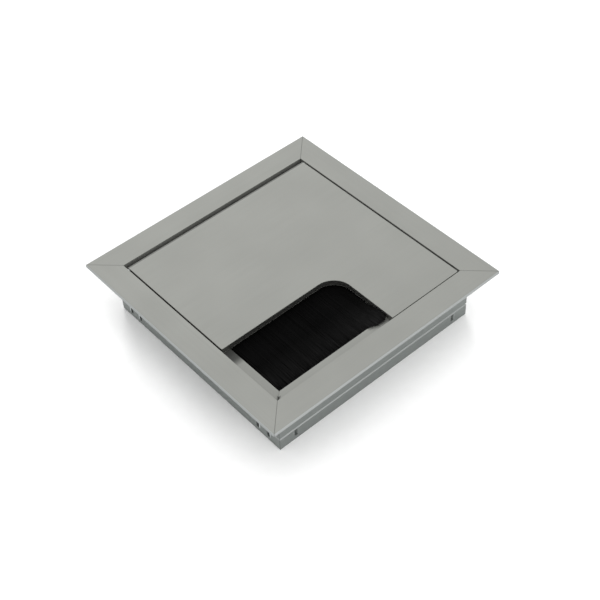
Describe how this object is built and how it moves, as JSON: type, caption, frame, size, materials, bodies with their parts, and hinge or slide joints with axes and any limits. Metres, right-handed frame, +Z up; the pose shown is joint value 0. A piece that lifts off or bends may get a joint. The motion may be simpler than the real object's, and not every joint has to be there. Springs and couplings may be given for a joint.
{
  "type": "desk grommet",
  "caption": "Square aluminium desk grommet: mitred flanged frame for a desk cut-out, with a hinged flush lid whose corner notch lets cables out past a black brush strip.",
  "frame": {"origin": "centre of the grommet on the desk surface, which is the underside of the flange", "axes": "+Z up out of the desk, +Y towards the hinge at the back, +X to the right seen from the notch side"},
  "size_m": [0.08, 0.08, 0.0172],
  "materials": {
    "anodised_aluminium": "satin anodised extrusion",
    "lid_aluminium": "satin anodised plate",
    "die_cast_zinc": "as cast",
    "pin_steel": "drawn wire",
    "galvanised_steel": "galvanised strip",
    "foam_tape": "closed-cell foam",
    "black_nylon": "crimped filaments"
  },
  "bodies": {
    "frame": {"frame_front": "anodised_aluminium", "frame_back": "anodised_aluminium", "frame_left": "anodised_aluminium", "frame_right": "anodised_aluminium", "corner_key_front_left": "die_cast_zinc", "corner_key_front_right": "die_cast_zinc", "corner_key_back_left": "die_cast_zinc", "corner_key_back_right": "die_cast_zinc"},
    "lid": {"lid_plate": "lid_aluminium", "hinge_pin_left": "pin_steel", "hinge_pin_right": "pin_steel", "brush_tape": "foam_tape", "brush_channel": "galvanised_steel", "brush_core_wire": "galvanised_steel", "brush_bristles": "black_nylon"}
  },
  "joints": [
    {"name": "lid_hinge", "type": "hinge", "parent": "frame", "child": "lid", "pos_m": [0, 0.0306, 0], "axis": [-1, 0, 0], "range_deg": [0, 120]}
  ]
}
